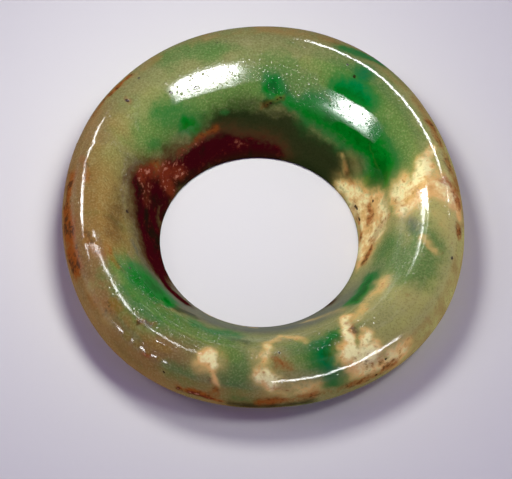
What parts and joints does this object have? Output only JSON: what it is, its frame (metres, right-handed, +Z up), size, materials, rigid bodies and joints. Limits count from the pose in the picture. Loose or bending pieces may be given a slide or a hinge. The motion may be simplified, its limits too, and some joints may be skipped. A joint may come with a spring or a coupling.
{
  "type": "stone earflare",
  "caption": "Carved green stone ring with a thick rounded rim, a funnel-shaped front and a splayed open throat.",
  "frame": {"origin": "middle of the footprint, on the flat foot that the ring lies on", "axes": "+Z up through the throat towards the flared front, +X to the right and +Y away in the picture's view"},
  "size_m": [0.0582, 0.0612, 0.0112],
  "materials": {
    "stone": "polished green stone with cream veins, emerald patches and rust stains"
  },
  "bodies": {
    "root": {"stone_ring": "stone"}
  },
  "joints": []
}
